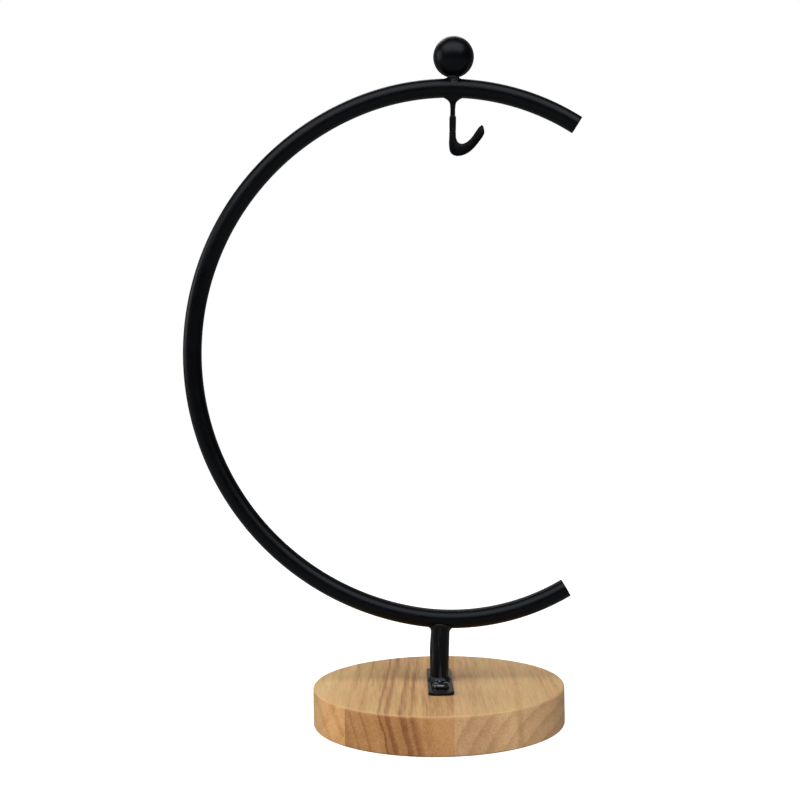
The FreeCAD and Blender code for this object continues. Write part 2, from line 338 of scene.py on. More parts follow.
# --- finishes ---
def wood_finish(
        name, end_tones, top_tones, bands, lean, rings, streaks, mottling, shift,
        face_strip=(0.0, 0.0)):
    """Solid oiled wood with its grain along the staves.

    end_tones and top_tones are each the light, middle and dark colour of the rim's end
    grain and of the flat faces. bands are late-wood bands across the stave, as
    (millimetres across, darkness). lean is how far the bands move sideways for each
    millimetre down. rings are the curved growth rings: the middle of the tree in
    millimetres (across, up), the spacing and the strength. streaks and mottling are how
    strong the fibres on the faces and the blotches on the end grain are. face_strip is
    where a darker strip of the faces starts, in millimetres across, and its darkness.
    """
    wood = Finish(name, {"Specular IOR Level": 0.14})
    top_mm, radius_mm = FOOT_TOP / MM, FOOT_RADIUS / MM
    across, _, up = wood.split(wood.place(turn=STAVE_TURN))

    def along_grain(across_scale, along_scale, detail, roughness=0.5):
        place = wood.place((across_scale, along_scale, across_scale), STAVE_TURN, shift)
        return wood.noise(place, 1.0, detail, roughness)

    def isotropic(scale, detail, roughness=0.5):
        return wood.noise(wood.place((scale,) * 3, STAVE_TURN, shift), 1.0, detail, roughness)

    face = up.between(top_mm - 0.75, top_mm - 0.05)
    # A lighter band over the eased top edge of the rim: painted highlight of the edge, partly
    # sanded wear.
    edge_highlight_and_wear = up.between(top_mm - 1.5, top_mm - 0.55) * (
        1 - up.between(top_mm - 0.3, top_mm - 0.02))
    wander = (along_grain(45, 9, 2.0) - 0.5) * 3.6
    waver = (along_grain(240, 30, 2.0) - 0.5) * 1.0
    level = across + (up - top_mm) * lean + wander + waver
    low, high = bands[0][0], bands[-1][0]
    stops = [((offset - low) / (high - low), dark) for offset, dark in bands]
    band = wood.add(
        "ShaderNodeValToRGB", {"stops": stops}, {"Fac": (level - low) / (high - low)})
    (pith_across, pith_up), spacing, strength = rings
    from_pith = (
        (across - pith_across + wander) ** 2.0 + (up - pith_up + waver) ** 2.0) ** 0.5
    ring_count = from_pith / spacing
    phase = ring_count.math("FRACT", ring_count)
    late_wood = phase.between(0.4, 0.93) * (1 - phase.between(0.95, 1.0))
    fibres = along_grain(1300, 70, 3.0, 0.65)
    broad = along_grain(300, 10, 3.0, 0.6)
    grit = isotropic(1500, 2.0, 0.7)
    mottle = isotropic(230, 3.0, 0.6)
    pores = along_grain(2600, 420, 1.0).between(0.63, 0.72)
    dashes = along_grain(900, 120, 2.0).between(0.6, 0.75)

    end_dark = (
        band + late_wood * strength + (grit - 0.5) * 0.85 + (mottle - 0.5) * mottling
        + (fibres - 0.5) * 0.15).clamped()
    end = wood.mix(end_dark.between(0.0, 0.5), end_tones[0], end_tones[1])
    end = wood.mix(end_dark.between(0.35, 1.0), end, end_tones[2])

    streak = along_grain(620, 16, 4.0, 0.7)
    strip = (across + waver).between(face_strip[0] - 0.5, face_strip[0] + 0.5) * face_strip[1]
    top_dark = (
        band * 0.72 + strip + late_wood * strength * 0.35 + (fibres - 0.5) * streaks * 0.8
        + (streak - 0.5) * streaks * 1.25 + (broad - 0.5) * streaks * 0.5).clamped()
    pink = along_grain(210, 34, 2.0).between(0.42, 0.66)
    light = wood.mix(pink * 0.55, top_tones[0], rgb(208, 154, 114))
    green = along_grain(150, 26, 2.0).between(0.5, 0.7)
    light = wood.mix(green * 0.45, light, rgb(188, 160, 100))
    top = wood.mix(top_dark.between(0.0, 0.55), light, top_tones[1])
    top = wood.mix(top_dark.between(0.3, 0.95), top, top_tones[2])
    top = wood.mix(dashes * 0.22, top, rgb(150, 104, 74))

    # The far left and right of the rim show the grain from the side.
    flank = across.math("ABSOLUTE", across).between(0.84 * radius_mm, radius_mm)
    rim = wood.mix(flank * 0.6, end, top)
    colour = wood.mix(face, rim, top)
    # Painted highlight along the eased top edge, partly sanded wear.
    colour = wood.mix(edge_highlight_and_wear * 0.25, colour, rgb(226, 188, 134))
    colour = wood.mix(pores * 0.2, colour, (0.16, 0.08, 0.035, 1))
    wood.set("Base Color", colour)
    wood.set("Roughness", 0.56 + (fibres - 0.5) * 0.2 + pores * 0.1)
    wood.bump(fibres * 0.5 - pores * 0.6 + grit * 0.25, 0.4, 0.0001)
    return wood.material


def paint_finish(name, tone, constants, roughness, peel, scuff_and_highlight=0.0, stretch=(1, 1, 1)):
    """Satin black paint: a fine orange peel, uneven gloss, patches of wear, dust and painted
    highlight.
    """
    paint = Finish(name, constants)
    place = paint.place(tuple(1000 * value for value in stretch))
    cloud = paint.noise(place, 0.12, 3.0)
    grain = paint.noise(place, 1.1, 2.0)
    speck = paint.noise(place, 3.2, 1.0)
    scuff_and_highlight_noise = (paint.noise(place, 0.45, 4.0, 0.65) - 0.5) * 2.0
    scuff_and_highlight_mask = scuff_and_highlight_noise.between(0.0, 0.4) * scuff_and_highlight
    colour = paint.mix(cloud.between(0.3, 0.7), tone, tuple(1.5 * v for v in tone[:3]) + (1,))
    # Lighter bluish-grey patches: partly wear and dust, partly painted highlight streaks.
    colour = paint.mix(scuff_and_highlight_mask, colour, (0.06, 0.062, 0.07, 1))
    paint.set("Base Color", colour)
    paint.set("Roughness", roughness + (grain - 0.5) * 0.16 + (cloud - 0.5) * 0.14)
    paint.bump(grain * 0.7 + speck * 0.3, 0.5, peel)
    return paint.material


WOOD_LEFT = wood_finish(
    "orange stave",
    (rgb(238, 186, 128), rgb(214, 160, 104), rgb(178, 122, 74)),
    (rgb(210, 178, 126), rgb(190, 152, 102), rgb(160, 116, 78)),
    [(-58, 0.1), (-54, 0.15), (-51, 0.35), (-49, 0.15), (-46, 0.15), (-43, 0.45), (-41, 0.2),
     (-37, 0.35)],
    0.45, ((-95.0, 40.0), 7.5, 0.15), 0.8, 0.4, (3.0, 1.0, 7.0))
WOOD_MIDDLE = wood_finish(
    "brown banded stave",
    (rgb(204, 154, 102), rgb(180, 128, 80), rgb(142, 90, 54)),
    (rgb(200, 168, 114), rgb(182, 142, 96), rgb(148, 102, 70)),
    [(-38, 0.4), (-36.5, 0.3), (-35.5, 0.55), (-34.6, 0.3), (-31.6, 0.25), (-30.6, 0.6),
     (-29.9, 0.3), (-27.0, 0.3), (-24.0, 0.4), (-23.3, 1.0), (-22.6, 0.45), (-21.2, 0.5),
     (-20.6, 0.9), (-19.2, 0.7), (-18.4, 0.35), (-15.6, 0.5), (-15.0, 0.9), (-13.2, 0.7),
     (-12.3, 0.35), (-11.3, 0.5), (-10.7, 0.8), (-8.8, 0.55), (-7.2, 0.25), (-5.2, 0.38),
     (-3.0, 0.2), (1.0, 0.14), (4.0, 0.08), (7.5, 0.1)],
    0.24, ((160.0, 60.0), 9.0, 0.06), 0.9, 0.45, (0.0, 0.0, 0.0), (-4.2, 0.34))
WOOD_RIGHT = wood_finish(
    "pinkish ringed stave",
    (rgb(230, 190, 141), rgb(202, 158, 115), rgb(169, 124, 86)),
    (rgb(202, 170, 122), rgb(184, 146, 102), rgb(154, 112, 78)),
    [(6.5, 0.3), (12.0, 0.42), (20.0, 0.38), (27.0, 0.2), (31.0, 0.1), (33.0, 0.4),
     (35.0, 0.2), (44.0, 0.3), (54.0, 0.4)],
    0.05, ((60.0, -18.0), 6.4, 0.17), 0.8, 0.3, (11.0, 5.0, 2.0))

BLACK = (0.0011, 0.0011, 0.0014, 1)
COOL = (0.8, 0.88, 1.0, 1)


def black(name, specular, *gloss):
    """Paint with a cool sheen; gloss is the roughness and on, as paint_finish takes them."""
    return paint_finish(
        name, BLACK, {"Specular IOR Level": specular, "Specular Tint": COOL}, *gloss)


PAINT = black("satin black paint", 0.135, 0.33, 0.00003)
# On the post the lighter patches are stretched into lengthwise streaks of painted highlight.
POST_PAINT = black(
    "satin black paint scraped lengthwise", 0.16, 0.34, 0.00012, 0.5, (1.6, 1.6, 0.1))
HOOK_PAINT = black("black paint over forged steel", 0.07, 0.46, 0.00009, 0.1)
WELD_PAINT = black("black paint over rough weld", 0.24, 0.34, 0.00012, 0.4)
PLATE_PAINT = black("satin black paint on the plate", 0.3, 0.24, 0.00003, 0.2)
CAP_PAINT = paint_finish(
    "matt black plug", (0.004, 0.004, 0.004, 1), {"Specular IOR Level": 0.15}, 0.6, 0.00004)
SCREW_PAINT = paint_finish(
    "half-gloss black screw", (0.004, 0.004, 0.005, 1), {"Specular IOR Level": 0.85}, 0.2,
    0.00003, 0.3)


# --- mesh helpers ---
def linked(name, data):
    """A new object in the scene, at the origin."""
    made = bpy.data.objects.new(name, data)
    bpy.context.scene.collection.objects.link(made)
    return made


def piece(name, mesh, material, slot, *nodes):
    """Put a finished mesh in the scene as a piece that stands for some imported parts."""
    mesh.name = name
    if not mesh.materials:
        mesh.materials.append(material)
    made = linked(name, mesh)
    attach(made, BODY)
    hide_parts(*nodes)
    return made


def smoothed(mesh, angle=SHARP):
    for polygon in mesh.polygons:
        polygon.use_smooth = True
    mesh.set_sharp_from_angle(angle=angle)
    return mesh


def skin(rings, closed_ends=True, closed_loop=False, angle=SHARP):
    """Mesh over a row of equal rings of points, each ring closed."""
    count = len(rings[0])
    points = [tuple(point) for ring in rings for point in ring]
    faces = []
    last = len(rings) if closed_loop else len(rings) - 1
    for row in range(last):
        below, above = row * count, (row + 1) % len(rings) * count
        for step in range(count):
            after = (step + 1) % count
            faces.append((below + step, below + after, above + after, above + step))
    if closed_ends and not closed_loop:
        faces.append(tuple(reversed(range(count))))
        faces.append(tuple(range((len(rings) - 1) * count, len(rings) * count)))
    mesh = bpy.data.meshes.new("skin")
    mesh.from_pydata(points, [], faces)
    return outward(mesh, angle)


def outward(mesh, angle=SHARP):
    """Merge doubles, turn all faces outwards and smooth the mesh."""
    shape = bmesh.new()
    shape.from_mesh(mesh)
    bmesh.ops.remove_doubles(shape, verts=shape.verts, dist=1e-7)
    bmesh.ops.recalc_face_normals(shape, faces=shape.faces)
    shape.to_mesh(mesh)
    shape.free()
    return smoothed(mesh, angle)


def finished(mesh, modifiers):
    """The mesh after some modifiers, given as (kind, settings)."""
    holder = linked("holder", mesh)
    for kind, settings in modifiers:
        modifier = holder.modifiers.new(kind.lower(), kind)
        for key, value in settings.items():
            setattr(modifier, key, value)
    made = evaluated_mesh(holder)
    bpy.data.objects.remove(holder)
    return made


def evaluated_mesh(holder):
    graph = bpy.context.evaluated_depsgraph_get()
    graph.update()
    return bpy.data.meshes.new_from_object(holder.evaluated_get(graph), depsgraph=graph)


def standing(base, axis):
    """Matrix that stands +Z at the origin on base along axis, turning about Y only."""
    lean = math.atan2(axis.x, axis.z)
    return Matrix.Translation(base) @ Matrix.Rotation(lean, 4, "Y")


def angles(count):
    return [math.tau * step / count for step in range(count)]


def polar(radius, angle, height=0):
    return Vector((radius * math.cos(angle), radius * math.sin(angle), height))


def circle(radius, count, height=0):
    return [polar(radius, angle, height) for angle in angles(count)]


def unevenness(point, size, seed=0.0):
    """Smooth noise from -1 to 1 over millimetres of the given size."""
    return noise.noise(point / (size * MM) + Vector((seed, seed * 1.7, -seed)))


# --- the foot ---
def between_ends(first, last):
    """Points on the straight line between two points, without its ends."""
    shares = [step / LINE_STEPS for step in range(1, LINE_STEPS)]
    return [
        (first[0] + (last[0] - first[0]) * share, first[1] + (last[1] - first[1]) * share)
        for share in shares]


def stave_ring(low, high, radius, height):
    """Outline of a stave at one height: the rim between two cuts across the turned disc."""
    start, end = (max(-radius, min(radius, offset)) for offset in (low, high))
    first, last = math.acos(start / radius), math.acos(end / radius)
    front = []
    for step in range(ARC_STEPS + 1):
        angle = -(last + (first - last) * step / ARC_STEPS)
        front.append((radius * math.cos(angle), radius * math.sin(angle)))
    front.reverse()
    back = [(x, -y) for x, y in reversed(front)]
    outline = (
        front + between_ends(front[-1], back[0]) + back + between_ends(back[-1], front[0]))
    turn = Matrix.Rotation(-STAVE_TURN, 4, "Z")
    ring = []
    for x, y in outline:
        point = turn @ Vector((x, y, height))
        flat = Vector((point.x, point.y, 0))
        rim = min(1.0, math.hypot(x, y) / radius) ** RIM_FOCUS
        wave = RIM_WAVE * unevenness(flat, 17.0, 3.0) * rim
        ring.append(point + flat.normalized() * (wave - RIM_WAVE * rim))
    return ring


def stave_levels():
    """(radius, height) of each outline, from the underside to the top, with eased edges."""
    eases = []
    for step in range(EASE_STEPS + 1):
        turn = math.radians(90 * step / EASE_STEPS)
        eases.append((EDGE_ROUND * (1 - math.sin(turn)), EDGE_ROUND * (1 - math.cos(turn))))
    levels = [(FOOT_RADIUS - inset, rise) for inset, rise in eases]
    for share in (0.25, 0.5, 0.75):
        levels.append((FOOT_RADIUS, EDGE_ROUND + (FOOT_TOP - 2 * EDGE_ROUND) * share))
    return levels + [(FOOT_RADIUS - rise, FOOT_TOP - inset) for inset, rise in eases]


def make_staves():
    """Three staves of the round foot, with softly eased rims."""
    reach = 2 * FOOT_RADIUS
    for name, low, high, material, slot in (
            ("left", -reach, LEFT_GLUE_LINE, WOOD_LEFT, "wood_left"),
            ("middle", LEFT_GLUE_LINE, RIGHT_GLUE_LINE, WOOD_MIDDLE, "wood_middle"),
            ("right", RIGHT_GLUE_LINE, reach, WOOD_RIGHT, "wood_right")):
        rings = [stave_ring(low, high, radius, height) for radius, height in stave_levels()]
        piece(
            "foot_stave_" + name, skin(rings, angle=math.radians(30)), material, slot,
            "base_stave_" + name)


# --- plate and screws ---
def make_plate():
    """Steel strip with bowed ends, broken edges and two drilled holes."""
    width, length = plate_high.x - plate_low.x, plate_high.y - plate_low.y
    middle = (plate_low + plate_high) / 2
    half_width, half_length = width / 2 - PLATE_EDGE_BREAK, length / 2 - PLATE_EDGE_BREAK
    outline, end_steps = [], 12
    for side in (-1, 1):
        for step in range(end_steps + 1):
            share = -1 + 2 * step / end_steps
            x = -side * share * half_width
            corner = PLATE_CORNER * max(0.0, abs(share) - 0.86) / 0.14
            outline.append((x, side * (half_length - PLATE_END_BOW * share ** 2 - corner * 0.4)))
    flat = bpy.data.curves.new("plate", "CURVE")
    flat.dimensions = "2D"
    flat.fill_mode = "BOTH"
    flat.extrude = (plate_high.z - plate_low.z) / 2 - PLATE_EDGE_BREAK
    flat.bevel_depth = PLATE_EDGE_BREAK
    flat.bevel_resolution = 3
    hole_radius = THREAD_RADIUS + SCREW_CLEARANCE + PLATE_EDGE_BREAK
    loops = [outline]
    for y in SCREW_PLACES.values():
        loops.append([(p.x, p.y + y) for p in circle(hole_radius, 48)])
    for loop in loops:
        spline = flat.splines.new("POLY")
        spline.points.add(len(loop) - 1)
        for point, (x, y) in zip(spline.points, loop):
            point.co = (x, y, 0, 1)
        spline.use_cyclic_u = True
    holder = linked("plate", flat)
    mesh = evaluated_mesh(holder)
    bpy.data.objects.remove(holder)
    mesh.transform(Matrix.Translation(middle))
    mesh.materials.clear()
    piece("drilled_plate", outward(mesh), PLATE_PAINT, "black_paint", "mounting_plate")


SCREW_PLACES = {
    name: (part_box(name)[0].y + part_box(name)[1].y) / 2 for name in ("front_screw", "rear_screw")}


def turned(profile, count, angle=SHARP):
    """Mesh turned about Z from (radius, height) points; the ends lie on the axis."""
    rings = [circle(max(radius, 1e-6), count, height) for radius, height in profile]
    return skin(rings, angle=angle)


def screw_head():
    """Pan head with a rounded crown and a cross recess."""
    break_edge, rim, flat, steps = 0.15 * MM, 0.6 * MM, 1.2 * MM, 14
    profile = [
        (0.0, 0.0), (HEAD_RADIUS - break_edge, 0.0), (HEAD_RADIUS, break_edge),
        (HEAD_RADIUS, rim)]
    for step in range(1, steps + 1):
        turn = step / steps * math.pi / 2
        profile.append((
            flat + (HEAD_RADIUS - flat) * math.cos(turn) ** 0.9,
            rim + (HEAD_HEIGHT - rim) * math.sin(turn)))
    profile.append((0.0, HEAD_HEIGHT))
    cutter_shape = bmesh.new()
    for turn in (RECESS_TURN, RECESS_TURN + math.pi / 2):
        corners = []
        for height, reach, half in ((1.0, 1.3, 0.33), (2.6, 2.05, 0.5)):
            for x, y in ((-reach, -half), (reach, -half), (reach, half), (-reach, half)):
                corners.append(Matrix.Rotation(turn, 4, "Z") @ Vector((x, y, height)) * MM)
        vertices = [cutter_shape.verts.new(corner) for corner in corners]
        faces = [(3, 2, 1, 0), (4, 5, 6, 7)]
        faces += [(side, (side + 1) % 4, (side + 1) % 4 + 4, side + 4) for side in range(4)]
        for face in faces:
            cutter_shape.faces.new([vertices[index] for index in face])
    cutter_mesh = bpy.data.meshes.new("cross")
    bmesh.ops.recalc_face_normals(cutter_shape, faces=cutter_shape.faces)
    cutter_shape.to_mesh(cutter_mesh)
    cutter_shape.free()
    cutter = linked("cross", cutter_mesh)
    head = finished(
        turned(profile, 64),
        [("BOOLEAN", {"object": cutter, "operation": "DIFFERENCE", "solver": "EXACT",
                      "use_self": True})])
    bpy.data.objects.remove(cutter)
    return outward(head)


def screw_tree():
    """Geometry nodes that put a head on a shank and stack its thread ridges."""
    tree = GeometryTree("wood_screw", "Screw", (
        ("Head", "Geometry"), ("Place", "Vector"), ("Pitch", "Float"), ("Ridges", "Int"),
        ("Ridge radius", "Float"), ("Core radius", "Float"), ("Finish", "Material")))

    def tapered(top, bottom, depth):
        """A cone whose top ring is at its own origin."""
        cone = tree.add(
            "GeometryNodeMeshCone", {"fill_type": "NGON"},
            {"Vertices": 24, "Radius Top": bottom, "Radius Bottom": top, "Depth": depth})
        return tree.add(
            "GeometryNodeTransform", None, {"Geometry": cone, "Rotation": (math.pi, 0, 0)})

    def down(length):
        return tree.add("ShaderNodeCombineXYZ", None, {"Z": length * -1})

    half = tree.wire("Pitch") / 2
    upper = tapered(tree.wire("Core radius"), tree.wire("Ridge radius"), half)
    lower = tree.add(
        "GeometryNodeTransform", None,
        {"Geometry": tapered(tree.wire("Ridge radius"), tree.wire("Core radius"), half),
         "Translation": down(half)})
    stack = tree.add(
        "GeometryNodeMeshLine", {"mode": "OFFSET"},
        {"Count": tree.wire("Ridges"), "Offset": down(tree.wire("Pitch"))})
    thread = tree.add(
        "GeometryNodeInstanceOnPoints", None,
        {"Points": stack, "Instance": tree.join(upper, lower)})
    tree.finish(tree.add(
        "GeometryNodeTransform", None,
        {"Geometry": tree.join(tree.wire("Head"), thread), "Translation": tree.wire("Place")}))
    return tree


def make_screws():
    tree = screw_tree()
    head = screw_head()
    for name, y in SCREW_PLACES.items():
        low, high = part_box(name)
        mesh = tree.applied(head.copy(), {
            "Place": ((low.x + high.x) / 2, y, PLATE_TOP),
            "Pitch": THREAD_PITCH, "Ridges": THREAD_TURNS, "Ridge radius": THREAD_RADIUS,
            "Core radius": CORE_RADIUS, "Finish": SCREW_PAINT})
        piece("pan_" + name, smoothed(mesh), SCREW_PAINT, "black_screw", name)


# --- hoop ---
def hoop_tree():
    """Geometry nodes that bend a tube through three bends that run on from each other."""
    tree = GeometryTree("bent_hoop", "Hoop", (
        ("Tube radius", "Float"), ("Upper bend radius", "Float"),
        ("Main bend radius", "Float"), ("Lower bend radius", "Float"),
        ("Upper tip angle", "Float"), ("Upper bend ends", "Float"),
        ("Lower bend starts", "Float"), ("Lower tip angle", "Float"),
        ("Lower bend centre", "Vector"), ("Steps along", "Int"), ("Steps around", "Int"),
        ("Finish", "Material")))
    wire = tree.wire

    def along(angle, length):
        """Vector of a length at an angle in the hoop's plane."""
        return tree.add("ShaderNodeCombineXYZ", None, {
            "X": angle.math("COSINE", angle) * length, "Z": angle.math("SINE", angle) * length})

    def plus(first, second):
        return tree.add("ShaderNodeVectorMath", {"operation": "ADD"}, {0: first, 1: second})

    def pick(condition, if_true, if_false):
        return tree.add(
            "GeometryNodeSwitch", {"input_type": "VECTOR"},
            {"Switch": condition, "True": if_true, "False": if_false})

    index = tree.add("GeometryNodeInputIndex")
    share = index / (wire("Steps along") - 1)
    angle = wire("Upper tip angle") + (wire("Lower tip angle") - wire("Upper tip angle")) * share
    lower = wire("Lower bend centre")
    middle = plus(lower, along(
        wire("Lower bend starts"), wire("Lower bend radius") - wire("Main bend radius")))
    upper = plus(middle, along(
        wire("Upper bend ends"), wire("Main bend radius") - wire("Upper bend radius")))
    place = pick(
        wire("Upper bend ends") > angle,
        plus(upper, along(angle, wire("Upper bend radius"))),
        pick(angle > wire("Lower bend starts"),
             plus(lower, along(angle, wire("Lower bend radius"))),
             plus(middle, along(angle, wire("Main bend radius")))))
    line = tree.add(
        "GeometryNodeMeshLine", {"mode": "OFFSET"}, {"Count": wire("Steps along")})
    bent = tree.add("GeometryNodeSetPosition", None, {"Geometry": line, "Position": place})
    curve = tree.add("GeometryNodeMeshToCurve", None, {"Mesh": bent})
    section = tree.add(
        "GeometryNodeCurvePrimitiveCircle", {"mode": "RADIUS"},
        {"Resolution": wire("Steps around"), "Radius": wire("Tube radius")})
    tube = tree.add(
        "GeometryNodeCurveToMesh", None,
        {"Curve": curve, "Profile Curve": section, "Fill Caps": False})
    tree.finish(tube)
    return tree


def make_hoop():
    mesh = hoop_tree().applied(bpy.data.meshes.new("start"), {
        "Tube radius": TUBE_RADIUS, "Upper bend radius": UPPER_BEND,
        "Main bend radius": MAIN_BEND, "Lower bend radius": LOWER_BEND,
        "Upper tip angle": UPPER_TIP, "Upper bend ends": UPPER_START,
        "Lower bend starts": LOWER_START, "Lower tip angle": LOWER_TIP,
        "Lower bend centre": tuple(LOWER_CENTRE), "Steps along": HOOP_STEPS_ALONG,
        "Steps around": HOOP_STEPS_AROUND, "Finish": PAINT})
    outward(mesh)
    walled = finished(mesh, [
        ("SOLIDIFY", {"thickness": TUBE_WALL, "offset": -1.0, "use_even_offset": True}),
        ("BEVEL", {"width": 0.16 * MM, "segments": 2, "limit_method": "ANGLE",
                   "angle_limit": math.radians(50)})])
    piece("bent_hoop", outward(walled, math.radians(40)), PAINT, "black_paint", "hoop_tube")


def ring_on_bend(centre, bend, angle, radius, count):
    """Ring of points round the tube's middle line at one angle of a bend."""
    middle = centre + direction(angle) * bend
    outwards = direction(angle)
    return [
        middle + outwards * point.x + Vector((0, point.y, 0)) for point in circle(radius, count)]


def make_end_plugs():
    """Plugs pressed into the tube's ends, with a broken edge and a shallow dish."""
    radius = TUBE_RADIUS - TUBE_WALL
    for name, centre, bend, tip, inwards in (
            ("upper", UPPER_CENTRE, UPPER_BEND, UPPER_TIP, 1),
            ("lower", LOWER_CENTRE, LOWER_BEND, LOWER_TIP, -1)):
        rings = []
        # Share of the bore's radius, and millimetres in from the tube's end.
        for share, depth in (
                (0.02, CAP_DEPTH), (0.98, CAP_DEPTH), (0.985, 0.25), (0.95, 0.06),
                (0.88, 0.0), (0.6, 0.02), (0.45, 0.08), (0.2, 0.12), (0.02, 0.13)):
            angle = tip + inwards * depth * MM / bend
            rings.append(ring_on_bend(centre, bend, angle, radius * share, 48))
        piece(
            name + "_end_plug", skin(rings), CAP_PAINT, "black_cap", name + "_end_cap")


# --- post ---
def coped_height(offset):
    """How far up the post's axis a line through offset first meets the hoop's tube."""
    def inside(rise):
        point = POST_FOOT + offset + POST_AXIS * rise
        from_centre = math.hypot(point.x - LOWER_CENTRE.x, point.z - LOWER_CENTRE.z)
        return math.hypot(from_centre - LOWER_BEND, point.y) < TUBE_RADIUS

    low, high = COPE_START, (POST_HEAD - POST_FOOT).length + TUBE_RADIUS
    steps, halvings = 60, 30
    for step in range(steps):
        rise = low + (high - low) * step / steps
        if inside(rise):
            high = rise
            break
        last = rise
    low = last
    for _ in range(halvings):
        middle = (low + high) / 2
        if inside(middle):
            high = middle
        else:
            low = middle
    return low


def post_top(offset):
    """Top of the post's wall: against the hoop's underside, cut lower at front and back."""
    lowest = coped_height(Vector((TUBE_RADIUS, 0, 0)))
    return min(coped_height(offset), lowest + POST_TOP_RISE)


def make_post():
    """Short tube cut flat on the plate and coped round the underside of the hoop."""
    count, rows = 96, 24
    rings = []
    for radius in (TUBE_RADIUS, TUBE_RADIUS - TUBE_WALL):
        sides = []
        for point in circle(radius, count):
            offset = POST_LEAN @ point
            bottom = -offset.z / POST_AXIS.z
            sides.append((offset, bottom, post_top(offset)))
        wall = []
        for row in range(rows + 1):
            share = row / rows
            bow = POST_BOW * math.sin(math.pi * min(1.0, 1.25 * (1 - share))) ** 2
            wall.append([
                POST_FOOT + offset + POST_AXIS * (bottom + (top - bottom) * share)
                + Vector((bow * (offset.x < 0) * abs(offset.x) / TUBE_RADIUS, 0, 0))
                for offset, bottom, top in sides])
        rings += wall if radius == TUBE_RADIUS else wall[::-1]
    piece("coped_post", skin(rings, closed_loop=True), POST_PAINT, "black_paint", "post")


# --- welds ---
def weld_ripple(angle, seed, lobes):
    """Unevenness of a weld round its bar, from -1 to 1."""
    total = 0.0
    for index, (count, share) in enumerate(lobes):
        total += share * math.sin(count * angle + seed * (index + 1.3))
    return total


def weld(name, rings, node, material=WELD_PAINT, closed_loop=False):
    """Put the skin of a weld in the scene."""
    mesh = skin(rings, closed_loop=closed_loop, angle=WELD_SHARP)
    piece(name, mesh, material, "black_weld", node)


def onto_tube(point, axis):
    """Move a point up or down onto the skin of the hoop's upper bend, on the axis's side."""
    sink = 0.08 * MM
    sideways = min(abs(point.y), TUBE_RADIUS - sink)
    rise = math.sqrt((TUBE_RADIUS - sink) ** 2 - sideways ** 2)
    from_centre = UPPER_BEND + (rise if axis.z > 0 else -rise)
    height = UPPER_CENTRE.z + bend_height(UPPER_CENTRE, from_centre, point.x)
    return Vector((point.x, point.y, height))


def make_foot_weld():
    """Fillet weld round the post's foot, laid as a chain of overlapping puddles."""
    inner, leg, height = TUBE_RADIUS, 1.15 * MM, 1.75 * MM
    count, rows = 180, 12
    lobes = ((19, 0.45), (7, 0.3), (3, 0.25))
    rings = []
    profile = [(inner - 0.25 * MM, -0.2 * MM)]
    for row in range(rows + 1):
        share = row / rows
        swell = 0.12 * math.sin(math.pi * share)
        profile.append((
            inner + leg * ((1 - share) ** 1.35 + swell * 0.5),
            height * (share ** 1.35 + swell * 0.5)))
    profile.append((inner - 0.25 * MM, height))
    for radius, up in profile:
        ring = []
        for angle in angles(count):
            free = min(1.0, max(0.0, (radius - inner) / (0.3 * MM)))
            free = max(free, min(1.0, up / height) * 0.5)
            push = 0.13 * MM * free * weld_ripple(angle, 1.1, lobes)
            across = radius + push
            lift = up + 0.1 * MM * weld_ripple(angle, 2.3, lobes) * (up > 0.3 * height)
            offset = POST_LEAN @ polar(across, angle)
            ring.append(POST_FOOT + offset + POST_AXIS * (lift - offset.z))
        rings.append(ring)
    weld("post_foot_fillet", rings, "post_foot_weld", closed_loop=True)


def make_head_weld():
    """Weld round the post's head: a fillet at the sides, a low bead at front and back."""
    count, rows = 180, 14
    wide, tall = 1.3 * MM, 1.6 * MM
    lobes = ((17, 0.4), (6, 0.3), (2, 0.3))
    rings = [[] for _ in range(rows + 3)]
    for angle in angles(count):
        around = polar(1, angle)
        facing = math.sin(angle) ** 2
        ripple = weld_ripple(angle, 0.4, lobes)
        wall_top = post_top(POST_LEAN @ (around * TUBE_RADIUS))
        reach = TUBE_RADIUS + (wide * (1 - facing) - 0.4 * MM * facing) * (1 + 0.1 * ripple)
        meets = coped_height(POST_LEAN @ (around * reach))
        low = (TUBE_RADIUS, wall_top - tall * (1 - 0.35 * facing) * (1 + 0.12 * ripple))
        bend = (
            TUBE_RADIUS + (0.2 * wide * (1 - facing) + 0.5 * MM * facing) * (1 + 0.2 * ripple),
            wall_top - 0.15 * tall * (1 - facing) + 0.1 * MM * facing)
        high = (reach, meets)
        column = [(TUBE_RADIUS - 0.25 * MM, low[1])]
        for row in range(rows + 1):
            share = row / rows
            column.append(tuple(
                (1 - share) ** 2 * a + 2 * share * (1 - share) * b + share ** 2 * c
                for a, b, c in zip(low, bend, high)))
        column.append((reach - 0.5 * MM, meets + 0.4 * MM))
        for ring, (radius, up) in zip(rings, column):
            ring.append(POST_FOOT + POST_LEAN @ (around * radius) + POST_AXIS * up)
    weld("post_head_fillet", rings, "post_head_weld", closed_loop=True)


